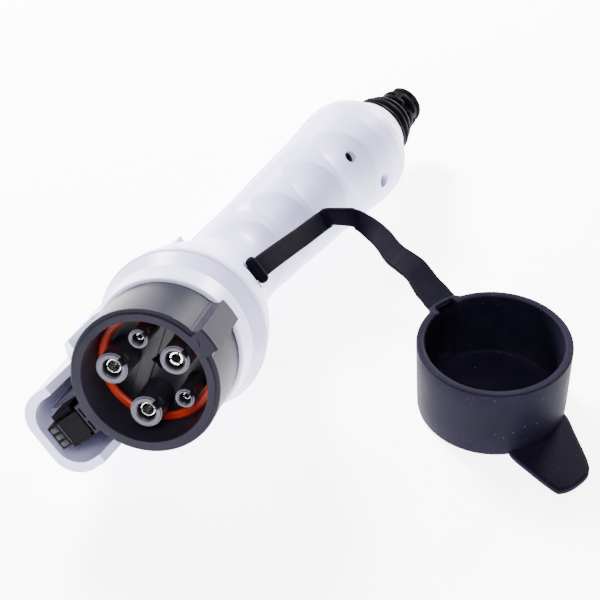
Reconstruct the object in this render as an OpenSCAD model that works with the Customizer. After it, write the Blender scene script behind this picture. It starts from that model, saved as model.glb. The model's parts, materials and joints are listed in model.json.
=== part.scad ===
// Hand-held charging connector with five contacts, a sprung latch and a tethered rubber cap.
// Its own axes: Y runs back along the nose from the front face, Z points to the latch.
// The whole thing lies on a table, so one transform lays the finished connector down.

/* [Nose] */
// Outside diameter of the nose
nose_d = 43.8; // [43.2:0.1:44.4]
// Length of dark nose in front of the pale ring
nose_len = 22; // [17:0.5:25]
// Diameter of the opening at the front
opening_d = 37; // [36:0.1:38]
// Depth of the cavity to its floor
cavity_depth = 14.6; // [13:0.1:17]
// Width of the key rib
key_w = 7.2; // [6:0.1:8]
// How far the key rib stands off the nose
key_h = 2.8; // [2:0.1:3.5]
// Depth of the step round the front face
lip_step = 0.6; // [0.3:0.1:1]
// Width of the step round the front face
lip_w = 1.3; // [0.8:0.1:1.6]

/* [Contacts] */
// Sideways distance of each power contact
power_x = 7.85; // [7.6:0.05:8]
// Height of the power contacts above the axis
power_z = 6.8; // [6.5:0.05:7]
// Distance of the earth contact below the axis
earth_z = 10.6; // [10.2:0.05:10.8]
// Sideways distance of each signal contact
signal_x = 10.65; // [10.4:0.05:10.9]
// Distance of the signal contacts below the axis
signal_z = 5.6; // [5.3:0.05:5.9]
// Diameter of the power pins that go in
power_pin_d = 3.6; // [3.5:0.05:3.7]
// Diameter of the earth pin that goes in
earth_pin_d = 2.8; // [2.7:0.05:2.9]
// Diameter of the signal pins that go in
signal_pin_d = 1.5; // [1.4:0.05:1.6]
// Outside diameter of a power sleeve
power_sleeve_d = 9.4; // [9:0.1:9.6]
// Outside diameter of the earth sleeve
earth_sleeve_d = 8.6; // [8:0.1:9.2]
// Outside diameter of a signal sleeve
signal_sleeve_d = 5.6; // [5.2:0.1:6]
// Depth of the sleeve faces behind the nose's face
sleeve_recess = 2.5; // [2:0.1:4]
// Gap all round a pin in its socket
pin_gap = 0.05; // [0.03:0.01:0.1]

/* [Head] */
// How far the bell's lip stands off the nose
bell_flare = 4.3; // [3:0.1:6]
// Distance of the bell's lip behind the nose's face
bell_y = 37.2; // [35:0.1:40]
// How far the pale ring stands off the nose
ring_step = 2; // [1.4:0.1:2.6]
// Half width of the hood over the latch
hood_half = 14; // [13:0.1:15]
// Height of the hood's top above the nose
hood_up = 19.6; // [18:0.1:21]
// Distance of the hood's rim behind the nose's face
hood_y = 3; // [1:0.1:6]
// Wall thickness of the hood
hood_wall = 2.8; // [2.2:0.1:3.2]
// Wall thickness of the housing
wall = 2.6; // [2:0.1:3]

/* [Handle] */
// Diameter of the neck
neck_d = 32.2; // [30:0.2:36]
// Where the handle starts to bend
bend_y = 75; // [70:1:84]
// Radius of the bend
bend_r = 55; // [50:1:90]
// Angle that the handle bends
bend_deg = 26.6; // [20:0.1:32]
// Largest diameter near the handle's end
bulb_d = 40.6; // [38:0.2:45]
// Length of the straight grip behind the bend
grip_len = 84; // [76:1:92]
// Depth of the finger grooves
groove_depth = 1; // [0.4:0.1:1.4]
// Distance from one finger groove to the next
groove_pitch = 19.6; // [18.5:0.1:21]
// Width of the line where the two shells meet
seam = 0.16; // [0.04:0.02:0.3]
// Height of that line above the axis
seam_z = 0.8; // [0.4:0.1:2]

/* [Latch] */
// Distance of the pivot behind the nose's face
pivot_y = 42; // [40:0.5:44]
// Height of the pivot above the nose
pivot_up = 6.1; // [5:0.1:7]
// Diameter of the pivot pin
pin_d = 3; // [2.5:0.1:3.5]
// Width of the hook
hook_w = 7.6; // [7:0.1:8]
// Gap between the nose and the hook
hook_gap = 1.8; // [1.6:0.1:2.4]
// Height of the hook itself
hook_h = 11.3; // [10.5:0.1:12]
// Width of the thumb pad
pad_w = 14; // [12:0.2:15]
// Running clearance of the pivot
pivot_gap = 0.05; // [0.02:0.01:0.1]

/* [Cable end] */
// Bore of the boot for the cord
cord_d = 9.6; // [8:0.2:10.4]
// Diameter of the boot's base
boot_d = 27; // [25:0.2:29]
// Length of the boot behind the handle
boot_len = 24; // [21:0.5:28]

/* [Cap] */
// How much the soft cap is stretched by the nose that it fits over
cap_stretch = 1; // [0.4:0.1:2]
// Wall thickness of the cap
cap_wall = 2; // [1.8:0.1:3]
// Height of the cap
cap_h = 26.6; // [24:0.2:28]
// Where the cap stands, to the right of the nose
cap_x = 103.4; // [98:0.1:110]
// Where the cap stands, behind the nose's face
cap_y = 33.1; // [36:0.1:46]
// Thickness of the strap
strap_t = 2; // [1.6:0.1:2.4]
// Length of the cross bar at the strap's foot
foot_w = 8.6; // [8:0.1:10]
// Diameter of the cross bar at the strap's foot
foot_d = 3; // [2.6:0.1:3.4]
// Distance of that bar behind the nose's face
foot_y = 55; // [50:0.5:58]

/* [Pose] */
// Height of the nose's front centre above the table
nose_height = 48.95; // [44:0.05:52]
// How far the nose points up
lie_pitch = 18.24; // [12:0.02:20]
// How far the connector is rolled onto its latch side
lie_roll = -129.06; // [-140:0.02:-124]
// How far the nose is turned to the left
lie_yaw = -14.47; // [-20:0.02:-10]
// Sideways offset that centres the model
origin_x = -46.1; // [-90:0.01:0]
// Front to back offset that centres the model
origin_y = -87.86; // [-110:0.01:0]

/* [Hidden] */
$fn = 64;
fit = 0.05;
nose_r = nose_d / 2;
open_r = opening_d / 2;
up = nose_r - 21.9;
ring_y = bell_y - 6.7;
flange_y = bell_y + 0.8;
ring_r = nose_r + ring_step;
neck_r = neck_d / 2;
bulb_r = bulb_d / 2;
bell_r = nose_r + bell_flare;
bend_lap = 3;
hood_z = nose_r + hood_up;
pivot_z = nose_r + pivot_up;
hook_z = nose_r + hook_gap;
cap_bore = nose_d - cap_stretch;
cap_d = cap_bore + 2 * cap_wall;
cord_r = cord_d / 2;
key_out = nose_r + key_h - cap_stretch / 2;
screw_at = [[2.6, 48.2, -14.4], [-12.4, 57.4, -9.2]];
bell_run = bend_y - bell_y;
grip_y = bend_y + bend_r * sin(bend_deg);
grip_z = -bend_r + bend_r * cos(bend_deg);
white = [0.93, 0.93, 0.95];
dark = [0.2, 0.2, 0.22];
black = [0.07, 0.07, 0.08];
pale = [0.72, 0.71, 0.78];
steel = [0.75, 0.76, 0.78];
orange = [0.85, 0.2, 0.1];
brass = [0.8, 0.66, 0.35];

// Reads a table of place and value along straight lines
function read(t, x, i = 0) = i >= len(t) - 2 || x < t[i + 1][0]
    ? t[i][1] + (t[i + 1][1] - t[i][1]) * (x - t[i][0]) / (t[i + 1][0] - t[i][0]) : read(t, x, i + 1);

// Outside radius of the bell by distance back, and of the grip by distance from the bend
bell_line = concat([for (q = [[0.15, 0.92], [0.286, 0.81], [0.418, 0.67], [0.55, 0.525], [0.683, 0.385],
    [0.815, 0.24]]) [bell_y + q[0] * bell_run, neck_r + q[1] * (bell_r - neck_r)]],
    [[bend_y - 3, neck_r + 0.4], [bend_y + 3, neck_r - 0.4]]);
grip_line = concat([[-3, neck_r - 0.4], [3, neck_r + 0.4]], [for (q = [[12, 0.14], [25, 0.37], [35, 0.49],
    [46, 0.62], [54, 0.8]]) [q[0], neck_r + q[1] * (bulb_r - neck_r)]],
    [for (q = [[21, -0.2], [14, 0], [10.6, 0.9], [7.6, 2.7], [5, 4.9], [2.4, 6.6], [0, 7.6]])
    [grip_len - q[0], bulb_r - q[1]]]);
root_r = 1.8;
root_x = key_w / 2 + root_r - 0.03;
root_z = sqrt((nose_r + root_r - 0.05) * (nose_r + root_r - 0.05) - root_x * root_x);
foot_r = read(bell_line, foot_y);
// Half width inside the hood by distance back, and the wall that the inner pieces reach to
board_low = read(bell_line, 52) - 2.75;
frame_half = min(10.6, sqrt(pow(read(bell_line, 64) - wall, 2) - pow(12 + up, 2)) - 0.3);
hood_in = [[0, 11.2], [48, 11.2], [57, 9.6], [64, 8.6], [70, 7.9], [82, 7.4], [100, 7]];
pivot_half = read(hood_in, pivot_y + 4) - 0.3;
foot_z = -foot_r - foot_d / 2 + 0.3;

// The five contact places, as x and z
power_at = [[power_x, power_z], [-power_x, power_z]];
earth_at = [0, -earth_z];
signal_at = [[signal_x, -signal_z], [-signal_x, -signal_z]];

// Where a point of the connector's own frame comes to lie, before the centring
function roll_pt(p) = [p[0] * cos(lie_roll) + p[2] * sin(lie_roll), p[1],
    -p[0] * sin(lie_roll) + p[2] * cos(lie_roll)];
function pitch_pt(p) = [p[0], p[1] * cos(lie_pitch) + p[2] * sin(lie_pitch),
    -p[1] * sin(lie_pitch) + p[2] * cos(lie_pitch)];
function yaw_pt(p) = [p[0] * cos(lie_yaw) - p[1] * sin(lie_yaw),
    p[0] * sin(lie_yaw) + p[1] * cos(lie_yaw), p[2]];
function lay_pt(p) = yaw_pt(pitch_pt(roll_pt(p))) + [0, 0, nose_height];
foot_at = lay_pt([0, foot_y, foot_z]);

module centred() {
    translate([origin_x, origin_y, 0]) children();
}

module lay() {
    centred() translate([0, 0, nose_height]) rotate([0, 0, lie_yaw])
        rotate([-lie_pitch, 0, 0]) rotate([0, lie_roll, 0]) children();
}

// A round bar along Y
module ybar(d, y0, y1) {
    translate([0, y0, 0]) rotate([-90, 0, 0]) cylinder(d = d, h = y1 - y0);
}

// A body turned about Y from pairs of radius and distance back
module yturn(pts) {
    rotate([-90, 0, 0]) rotate_extrude() polygon(pts);
}

// A flat shape of x and z pushed along Y
module xz_prism(y0, y1) {
    translate([0, y1, 0]) rotate([90, 0, 0]) linear_extrude(height = y1 - y0) children();
}

// A flat shape of y and z pushed along X
module yz_prism(x0, x1) {
    translate([x0, 0, 0]) rotate([90, 0, 90]) linear_extrude(height = x1 - x0) children();
}

module at_grip() {
    translate([0, grip_y, grip_z]) rotate([-bend_deg, 0, 0]) children();
}

// The bend, which runs a little way into what it joins
module elbow(r) {
    translate([0, bend_y, -bend_r]) rotate([0, -90, 0]) rotate([0, 0, -bend_lap])
        rotate_extrude(angle = bend_deg + 2 * bend_lap) translate([bend_r, 0]) circle(r);
}

module box(x0, x1, y0, y1, z0, z1) {
    translate([x0, y0, z0]) cube([x1 - x0, y1 - y0, z1 - z0]);
}

module nose_shell() {
    color(dark) lay() difference() {
        union() {
            yturn([[open_r - 1, 0], [nose_r - lip_w, 0], [nose_r - lip_w, lip_step],
                [nose_r - 0.35, lip_step], [nose_r, lip_step + 0.35], [nose_r - 0.3, nose_len],
                [nose_r - 1.5, nose_len], [nose_r - 1.5, flange_y], [nose_r + 1.5, flange_y],
                [nose_r + 1.5, flange_y + 3], [18.6, flange_y + 3], [18.6, cavity_depth],
                [open_r - 1, cavity_depth]]);
            // the key rib, with a rounded outer face and a rounded root
            intersection() {
                box(-key_w / 2, key_w / 2, 0, nose_len, -nose_r - 4, -nose_r + 1.5);
                yturn([[0, 0], [nose_r + key_h - 0.4, 0], [nose_r + key_h, 0.4],
                    [nose_r + key_h, nose_len], [0, nose_len]]);
            }
            for (s = [-1, 1]) difference() {
                box(s > 0 ? key_w / 2 - 0.3 : -key_w / 2 - root_r + 0.1,
                    s > 0 ? key_w / 2 + root_r - 0.1 : -key_w / 2 + 0.3, 0.7, nose_len, -root_z, -nose_r + 1.6);
                translate([s * root_x, 0, -root_z]) ybar(2 * root_r, -1, nose_len + 1);
            }
            // the pad under the hook
            box(-4.9, 4.9, 0.8, nose_len, nose_r - 1.2, hook_z - 0.35);
            // a thin guide rib beside the hook
            box(7.3, 8.2, 1.5, nose_len, nose_r - 3, nose_r + 7.3);
        }
        yturn([[0, -1], [open_r, -1], [open_r, 0], [open_r - 0.5, 11.9], [open_r - 0.5, cavity_depth],
            [0, cavity_depth]]);
        yturn([[0, cavity_depth - 1], [16.2, cavity_depth - 1], [16.2, cavity_depth + 1.4],
            [17.35, cavity_depth + 1.4], [17.35, flange_y + 4], [0, flange_y + 4]]);
        // two windows in the pad under the hook
        box(0.6, 3.9, -1, 7, nose_r + 0.2, hook_z - 0.95);
        box(-3.9, -0.6, -1, 7, nose_r + 0.2, hook_z - 0.95);
        // a short mark on the face beside the key rib
        translate([0.9, 0, -nose_r + 0.6]) rotate([0, 24, 0]) box(-1.1, 1.1, -1, 0.25, -0.14, 0.14);
    }
}

module carrier() {
    color(dark) lay() difference() {
        union() {
            ybar(32.3, cavity_depth, cavity_depth + 2);
            ybar(34.6, cavity_depth + 1.45, 26);
            // the raised web across the floor
            intersection() {
                ybar(30.2, cavity_depth - 0.8, cavity_depth + 2);
                rotate([0, -34, 0]) box(1.2, 5.2, 0, 20, -18, 18);
            }
        }
        for (p = power_at) translate([p[0], 0, p[1]]) carrier_bore(power_sleeve_d, 5);
        translate([earth_at[0], 0, earth_at[1]]) carrier_bore(earth_sleeve_d, 5);
        for (p = signal_at) translate([p[0], 0, p[1]]) carrier_bore(signal_sleeve_d, 3);
        // a square well in the middle of the floor
        box(-1.9, 1.9, 5, cavity_depth + 3, -2.6, 1.2);
        for (a = [30, 150, 270]) rotate([0, a, 0]) translate([0, 0, 14.4]) ybar(2, 18, 27);
    }
}

module carrier_bore(sleeve, body) {
    ybar(sleeve + 2 * fit, 5, 20);
    ybar(body + 0.2, 19, 23);
    ybar(body + 2.1, 22, 27);
}

// One finger guard with its notch towards the key
module sleeve(d, bore) {
    difference() {
        yturn([[bore / 2 + 0.35, sleeve_recess], [d / 2 - 0.5, sleeve_recess],
            [d / 2 - 0.5, sleeve_recess + 0.35], [d / 2, sleeve_recess + 0.35],
            [d / 2, 19.95], [bore / 2, 19.95], [bore / 2, sleeve_recess + 0.35]]);
        box(-d * 0.13, d * 0.13, sleeve_recess - 1, sleeve_recess + 3.2, -d, -bore / 2 - 0.25);
    }
}

module power_sleeves() {
    color(pale) lay() {
        for (p = power_at) translate([p[0], 0, p[1]]) sleeve(power_sleeve_d, 5.7);
        translate([earth_at[0], 0, earth_at[1]]) sleeve(earth_sleeve_d, 5.7);
    }
}

module signal_sleeves() {
    color(pale) lay() for (p = signal_at) translate([p[0], 0, p[1]]) sleeve(signal_sleeve_d, 3.5);
}

// A socket: slotted front, collar and crimp barrel
module socket(d, pin, body, slots, tip, barrel, wire) {
    difference() {
        union() {
            yturn([[0, tip], [d / 2 - 0.35, tip], [d / 2, tip + 0.5], [d / 2, 17], [body / 2, 17.5],
                [body / 2, 22.05], [0, 22.05]]);
            ybar(body + 2, 22.05, 25.9);
            ybar(barrel, 25, 44);
        }
        ybar(pin + 2 * pin_gap, tip - 1, 20);
        ybar(wire, 33, 45);
        ybar(1, 35, 37);
        for (a = [0:slots - 1]) rotate([0, a * 360 / slots + 30, 0]) box(-0.25, 0.25, tip - 1, 15, 0, d);
    }
}

module line_contact() {
    color(steel) lay() translate([power_at[0][0], 0, power_at[0][1]])
        socket(4.9, power_pin_d, 5, 2, 4.4, 6.2, 4.6);
}

module neutral_contact() {
    color(steel) lay() translate([power_at[1][0], 0, power_at[1][1]])
        socket(4.9, power_pin_d, 5, 2, 4.4, 6.2, 4.6);
}

module earth_contact() {
    color(steel) lay() translate([earth_at[0], 0, earth_at[1]])
        socket(4.6, earth_pin_d, 5, 3, 4, 6.2, 4.6);
}

module pilot_contact() {
    color(steel) lay() translate([signal_at[1][0], 0, signal_at[1][1]])
        socket(2.7, signal_pin_d, 3, 2, 4.6, 3.2, 2);
}

module proximity_contact() {
    color(steel) lay() translate([signal_at[0][0], 0, signal_at[0][1]])
        socket(2.7, signal_pin_d, 3, 2, 4.6, 3.2, 2);
}

module cavity_seal() {
    color(orange) lay() yturn([[15.4, 12.6], [16, 12.1], [17.3, 12.1], [17.92, 12.7],
        [17.92, cavity_depth - 0.02], [16.3, cavity_depth - 0.02], [16.3, 14.1], [15.4, 13.6]]);
}

module retainer() {
    color(dark) lay() difference() {
        ybar(34.6, 26.02, 30);
        for (p = concat(power_at, [earth_at])) translate([p[0], 0, p[1]]) ybar(6.5, 25, 31);
        for (p = signal_at) translate([p[0], 0, p[1]]) ybar(3.5, 25, 31);
        for (a = [30, 150, 270]) rotate([0, a, 0]) translate([0, 0, 14.4]) {
            ybar(2.6, 25, 31);
            ybar(4.4, 28.6, 31);
        }
    }
}

module retainer_screws() {
    color(steel) lay() for (a = [30, 150, 270]) rotate([0, a, 0]) translate([0, 0, 14.4])
        difference() {
            union() {
                ybar(1.96, 19, 28.7);
                ybar(4.1, 28.62, 30.4);
            }
            ybar(1.9, 29.6, 31);
        }
}

module front_ring() {
    color(white) lay() yturn([[nose_r - 1.45, nose_len + 0.05], [nose_r + 0.5, nose_len + 0.05],
        [nose_r + 0.9, nose_len + 0.5], [ring_r - 0.3, ring_y - 0.5], [ring_r - 0.4, ring_y],
        [nose_r + 0.5, ring_y], [nose_r + 0.5, flange_y - 0.05], [nose_r - 1.45, flange_y - 0.05]]);
}

module bell_outer() {
    yturn(concat([[0, ring_y + 1], [nose_r + 1.2, ring_y + 1], [bell_r - 0.5, bell_y - 0.9], [bell_r, bell_y - 0.4],
        [bell_r, bell_y + 0.3], [bell_r - 0.5, bell_y + 0.5], [bell_r - 0.5, bell_y + 1],
        [bell_r - 0.2, bell_y + 1.3]], [for (q = bell_line) [q[1], q[0]]], [[0, bend_y + 3]]));
}

module bell_inner() {
    yturn(concat([[0, ring_y - 0.5], [nose_r + 0.55, ring_y - 0.5], [nose_r + 0.55, flange_y - 0.02],
        [nose_r + 1.55, flange_y - 0.02], [nose_r + 1.55, flange_y + 3.05], [nose_r + 0.3, flange_y + 3.05],
        [nose_r + 0.3, flange_y + 5]], [for (q = bell_line) if (q[0] > flange_y + 6) 
        [min(q[1] - wall, nose_r), q[0]]], [[0, bend_y + 3]]));
}

module grip_outer() {
    yturn(concat([[0, -3]], [for (q = grip_line) [q[1], q[0]]], [[0, grip_len]]));
}

module grip_inner() {
    yturn(concat([[0, -3]], [for (q = grip_line) if (q[0] < grip_len - 12) [q[1] - wall, q[0]]],
        [[bulb_r - 6.8, grip_len - 8.5], [0, grip_len - 8.5]]));
}

// The round parts of the handle, solid
module body_outer() {
    bell_outer();
    elbow(neck_r);
    at_grip() grip_outer();
}

module body_inner() {
    bell_inner();
    elbow(neck_r - wall);
    at_grip() {
        grip_inner();
        // the seat of the boot's flange
        ybar(22.8, grip_len - 15, grip_len + 5);
        ybar(26.5, grip_len - 6.5, grip_len - 3.5);
    }
}

// All that lies on the latch side of the seam, which follows the bend
module latch_side(lift) {
    bend = [for (i = [0:10]) let (a = -1.2 + (bend_deg + 2.4) * i / 10)
        [bend_y + (bend_r + lift) * sin(a), -bend_r + (bend_r + lift) * cos(a)]];
    end = bend[10] + 120 * [cos(bend_deg), -sin(bend_deg)];
    yz_prism(-60, 60) polygon(concat([[-5, lift]], bend, [end, [end[0], 90], [-5, 90]]));
}

module arch(half, top, corner, low) {
    translate([-half, low]) square([2 * half, top - corner - low]);
    translate([-half + corner, low]) square([2 * (half - corner), top - low]);
    for (s = [-1, 1]) translate([s * (half - corner), top - corner]) circle(corner);
}

// The space above the table, seen from the connector's own frame, or its mirror image
module table_side(side, rest) {
    rotate([0, -side * lie_roll, 0]) rotate([lie_pitch, 0, 0]) translate([-200, -200, rest - nose_height])
        cube([400, 400, 260]);
}

// The shoulders of the hood are flat where the connector rests on them
module hood_outer() {
    intersection() {
        hood_block();
        table_side(1, 0.01);
        table_side(-1, 0.01);
    }
}

module hood_block() {
    intersection() {
        xz_prism(hood_y, 100) arch(hood_half, hood_z, 9, 1);
        yz_prism(-20, 20) polygon([[hood_y, 28.2 + up], [hood_y, hood_z], [12, hood_z], [48, hood_z - 3.9],
            [60, hood_z - 7.3], [66, 33 + up], [72, 31 + up], [80, 27 + up], [88, 20.5 + up], [94, 12],
            [94, 2], [36, 2], [33, 20], [24, 22]]);
        translate([0, 0, -1]) linear_extrude(height = 60 + up) polygon([[-hood_half, 0], [hood_half, 0],
            [hood_half - 0.4, 52], [12.5, 60], [11.1, 66], [10.3, 72], [9.4, 82], [8.6, 100], [-8.6, 100],
            [-9.4, 82], [-10.3, 72], [-11.1, 66], [-12.5, 60], [-hood_half + 0.4, 52]]);
    }
    // the flanks that widen towards the bell
    intersection() {
        xz_prism(16, 90) arch(19.5, 32 + up, 10, 1);
        yz_prism(-20, 20) polygon([[18, 22], [28, 32 + up], [52, 32 + up], [80, 10], [80, 2], [36, 2],
            [33, 20]]);
    }
}

module hood_inner() {
    intersection() {
        xz_prism(hood_y - 2, 100) arch(hood_half - hood_wall, hood_z - hood_wall, 7.6, -2);
        yz_prism(-20, 20) polygon([[hood_y - 1, 20], [hood_y - 1, hood_z - hood_wall],
            [12, hood_z - hood_wall], [48, hood_z - hood_wall - 3.8], [57, hood_z - hood_wall - 6.2],
            [62, 31.3 + up], [70, 28.8 + up], [80, 23.6 + up],
            [86, 18 + up], [89, 10], [89, -1], [flange_y + 3, -1], [flange_y + 3, nose_r + 1.1],
            [31, nose_r + 1.1], [31, 20]]);
        translate([0, 0, -3]) linear_extrude(height = 60 + up) polygon(concat([for (q = hood_in) [q[1], q[0]]],
            [for (i = [len(hood_in) - 1:-1:0]) [-hood_in[i][1], hood_in[i][0]]]));
    }
}

module upper_shell() {
    color(white) lay() difference() {
        union() {
            intersection() {
                difference() {
                    body_outer();
                    body_inner();
                }
                latch_side(seam_z);
            }
            difference() {
                hood_outer();
                bell_inner();
                elbow(neck_r - wall);
                ybar(2 * ring_r - 0.4, -5, 36.5);
            }
            // pillars that carry the latch frame
            for (s = [-1, 1]) intersection() {
                translate([13 * s, 50, 12.02 + up]) cylinder(d = 5, h = 12);
                ybar(2 * nose_r + 0.8, 40, 54);
            }
            // bosses for the two visible screws
            at_grip() intersection() {
                for (p = screw_at) translate([p[0], p[1], seam_z + 0.1]) cylinder(d = 5.6, h = 30);
                yturn([[0, 40], [neck_r + 1.4, 40], [bulb_r - 1.6, 62], [0, 62]]);
            }
        }
        hood_inner();
        // the opening for the thumb pad
        box(-pad_w / 2 - 0.5, pad_w / 2 + 0.5, 60.8, 89, 17 + up, 60 + up);
        for (p = screw_at) at_grip() translate([p[0], p[1], -1]) cylinder(d = 2, h = 10);
        for (s = [-1, 1]) translate([13 * s, 50, 11 + up]) cylinder(d = 2, h = 6);
        // bores for the pivot pin's ends
        translate([-13.4, pivot_y, pivot_z]) rotate([0, 90, 0]) cylinder(d = pin_d + 0.06, h = 26.8);
    }
}

module lower_shell() {
    color(white) lay() difference() {
        union() {
            difference() {
                body_outer();
                body_inner();
                latch_side(seam_z - seam);
            }
            // bosses for the two visible screws
            at_grip() intersection() {
                for (p = screw_at) translate([p[0], p[1], -30]) cylinder(d = 6.2, h = 29.9);
                yturn([[0, 40], [neck_r + 1.4, 40], [bulb_r - 1.6, 62], [0, 62]]);
            }
            // posts under the circuit board, the rear ones with a pin
            for (s = [-1, 1]) {
                translate([7 * s, 66, -16.2]) cylinder(d = 4, h = 9.18);
                translate([7 * s, 66, -10]) cylinder(d = 2, h = 5.2);
                translate([7.6 * s, 52, -board_low]) cylinder(d = 4, h = board_low - 7.02);
            }
            // the lower half of the cord's saddle
            at_grip() intersection() {
                box(-11.6, 11.6, grip_len - 16, grip_len - 10.6, -20, -0.6);
                ybar(2 * bulb_r - 4.4, grip_len - 24, grip_len - 6);
            }
        }
        at_grip() {
            ybar(cord_d + 1.4, grip_len - 17, grip_len - 8);
            for (p = screw_at) {
                translate([p[0], p[1], -30]) cylinder(d = 2.7, h = 40);
                translate([p[0], p[1], -30]) cylinder(d = 4.2, h = 30 + p[2]);
            }
            for (s = [-1, 1]) translate([8.6 * s, grip_len - 13.3, -13]) cylinder(d = 2.1, h = 20);
        }
        for (k = [-1:2]) finger_groove(k);
        // the trough and the slot that hold the strap's foot
        box(-foot_w / 2 - 0.4, foot_w / 2 + 0.4, foot_y - 6, foot_y + foot_d / 2 + 0.5, -60,
            foot_z + foot_d / 2 + 0.15);
        box(-2.9, 2.9, foot_y - 5.4, foot_y + 3.6, -60, foot_z + 8);
    }
}

module housing_screws() {
    color(steel) lay() at_grip() for (p = screw_at) translate([p[0], p[1], p[2]]) difference() {
        union() {
            translate([0, 0, -1.76]) cylinder(d = 3.9, h = 1.76);
            translate([0, 0, -0.5]) cylinder(d = 1.96, h = 8 - p[2]);
        }
        translate([0, 0, -2.4]) cylinder(d = 2, h = 1.6, $fn = 6);
    }
}

// One shallow finger groove, cut by a ring set off towards the latch so that it fades at the sides
module finger_groove(k) {
    s0 = 7.6 + groove_pitch * k;
    off = groove_depth + 1.5;
    turn = s0 < 0 ? -s0 / bend_r * 57.3 : 0;
    w = groove_pitch / 2 - 0.9;
    prof = [for (q = [-1, -0.75, -0.5, -0.25, 0, 0.25, 0.5, 0.75, 1])
        [(s0 < 0 ? neck_r + q * q * w * w / 2 / (bend_r - neck_r) : read(grip_line, s0 + q * w))
            + off - groove_depth * (1 - q * q) + 0.02, q * w]];
    translate([0, bend_y, -bend_r]) rotate([-bend_deg + turn, 0, 0])
        translate([0, s0 < 0 ? 0 : s0, bend_r + off]) yturn(concat(prof, [[34, w], [34, -w]]));
}

module latch_lever() {
    color(black) lay() difference() {
        union() {
            box(-hook_w / 2, hook_w / 2, 0.6, 8, hook_z, hook_z + hook_h);
            box(-5.6, 5.6, 3.6, 12, hook_z + 2.7, hook_z + 9.7);
            translate([0, 0, up]) {
                yz_prism(-5, 5) polygon([[10, 27], [10, 33], [34, 33], [42, 32], [60, 31], [63, 30.6],
                    [63, 26.5], [46, 24.5], [38, 24.5], [30, 27.5]]);
                // the thumb pad
                intersection() {
                    yz_prism(-pad_w / 2, pad_w / 2) polygon([[61.6, 26.2], [61.6, 34.6], [63, 36.9], [66, 37.1],
                        [74, 33.6], [82, 29.9], [86.4, 27.4], [87.6, 25.6], [86.6, 22.4], [80, 23.6], [70, 26]]);
                    translate([0, 74.2, 0]) cylinder(r = 14.6, h = 60);
                    translate([0, 0, -up]) table_side(1, 0.2);
                    translate([0, 0, -up]) table_side(-1, 0.2);
                }
                // the finger over the switch
                box(-1.5, 1.5, 54.5, 56.5, 20.5, 26);
            }
            translate([-pivot_half, pivot_y, pivot_z]) rotate([0, 90, 0]) cylinder(d = 8, h = 2 * pivot_half);
        }
        translate([-12, pivot_y, pivot_z]) rotate([0, 90, 0]) cylinder(d = pin_d + 2 * pivot_gap, h = 24);
        // the recess that takes the spring's top
        translate([0, 74, 20 + up]) cylinder(d = 7.6, h = 8.4);
    }
}

module latch_pin() {
    color(steel) lay() translate([-13.2, pivot_y, pivot_z]) rotate([0, 90, 0]) cylinder(d = pin_d, h = 26.4);
}

module latch_spring() {
    color(steel) lay() translate([0, 74, 12.45 + up]) {
        n = 132;
        k = 6;
        pts = [for (i = [0:n]) let (a = 2160 * i / n, z = 15.4 * i / n) for (j = [0:k - 1])
            let (q = 360 * j / k, r = 2.7 + 0.4 * cos(q)) [r * cos(a), r * sin(a), z + 0.4 * sin(q)]];
        faces = concat([[for (j = [0:k - 1]) j]], [for (i = [0:n - 1]) for (j = [0:k - 1])
            [k * i + j, k * i + k + j, k * i + k + (j + 1) % k, k * i + (j + 1) % k]],
            [[for (j = [k - 1:-1:0]) k * n + j]]);
        polyhedron(points = pts, faces = faces);
    }
}

module latch_frame() {
    color(dark) lay() translate([0, 0, up]) difference() {
        union() {
            box(-15.2, 15.2, 46.5, 53.5, 10, 12);
            box(-frame_half, frame_half, 53, 64, 10, 12);
            box(-6.8, 6.8, 63, 79.4, 10, 12);
            translate([0, 74, 11]) cylinder(d = 4, h = 6);
            // rails beside the switch
            for (s = [-1, 1]) box(s > 0 ? 3.1 : -4.6, s > 0 ? 4.6 : -3.1, 49.2, 62, 11, 15.5);
        }
        for (s = [-1, 1]) translate([13 * s, 50, 9]) cylinder(d = 2.6, h = 4);
    }
}

module frame_screws() {
    color(steel) lay() for (s = [-1, 1]) translate([13 * s, 50, up]) difference() {
        union() {
            translate([0, 0, 8.4]) cylinder(d = 4.4, h = 1.58);
            translate([0, 0, 9]) cylinder(d = 1.96, h = 7.6);
        }
        translate([0, 0, 8]) cylinder(d = 2, h = 1.4, $fn = 6);
    }
}

module micro_switch() {
    color(black) lay() translate([0, 0, up]) difference() {
        box(-2.9, 2.9, 49.2, 62, 12.02, 18.4);
        translate([0, 55.5, 13.6]) cylinder(d = 1.9, h = 6);
        for (y = [51.5, 59.7]) translate([-5, y, 16.6]) rotate([0, 90, 0]) cylinder(d = 1.6, h = 10);
    }
}

module switch_plunger() {
    color(orange) lay() translate([0, 55.5, 15.5 + up]) cylinder(d = 1.8, h = 4.75);
}

module circuit_board() {
    color([0.1, 0.35, 0.2]) lay() difference() {
        box(-9, 9, 50, 68, -7, -5.6);
        for (s = [-1, 1]) translate([7 * s, 66, -8]) cylinder(d = 2.1, h = 5);
    }
}

module board_resistors() {
    color([0.55, 0.7, 0.8]) lay() for (s = [-1, 1]) translate([0, 55 + 2.6 * s, -4.35])
        rotate([0, 90, 0]) translate([0, 0, -3.2]) cylinder(d = 2.3, h = 6.4);
}

module cable_clamp() {
    color(dark) lay() at_grip() difference() {
        box(-11.6, 11.6, grip_len - 16, grip_len - 10.6, 0.5, cord_r + 3.4);
        ybar(cord_d + 1.4, grip_len - 17, grip_len - 8);
        for (s = [-1, 1]) translate([8.6 * s, grip_len - 13.3, -1]) cylinder(d = 2.7, h = 16);
    }
}

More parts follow.
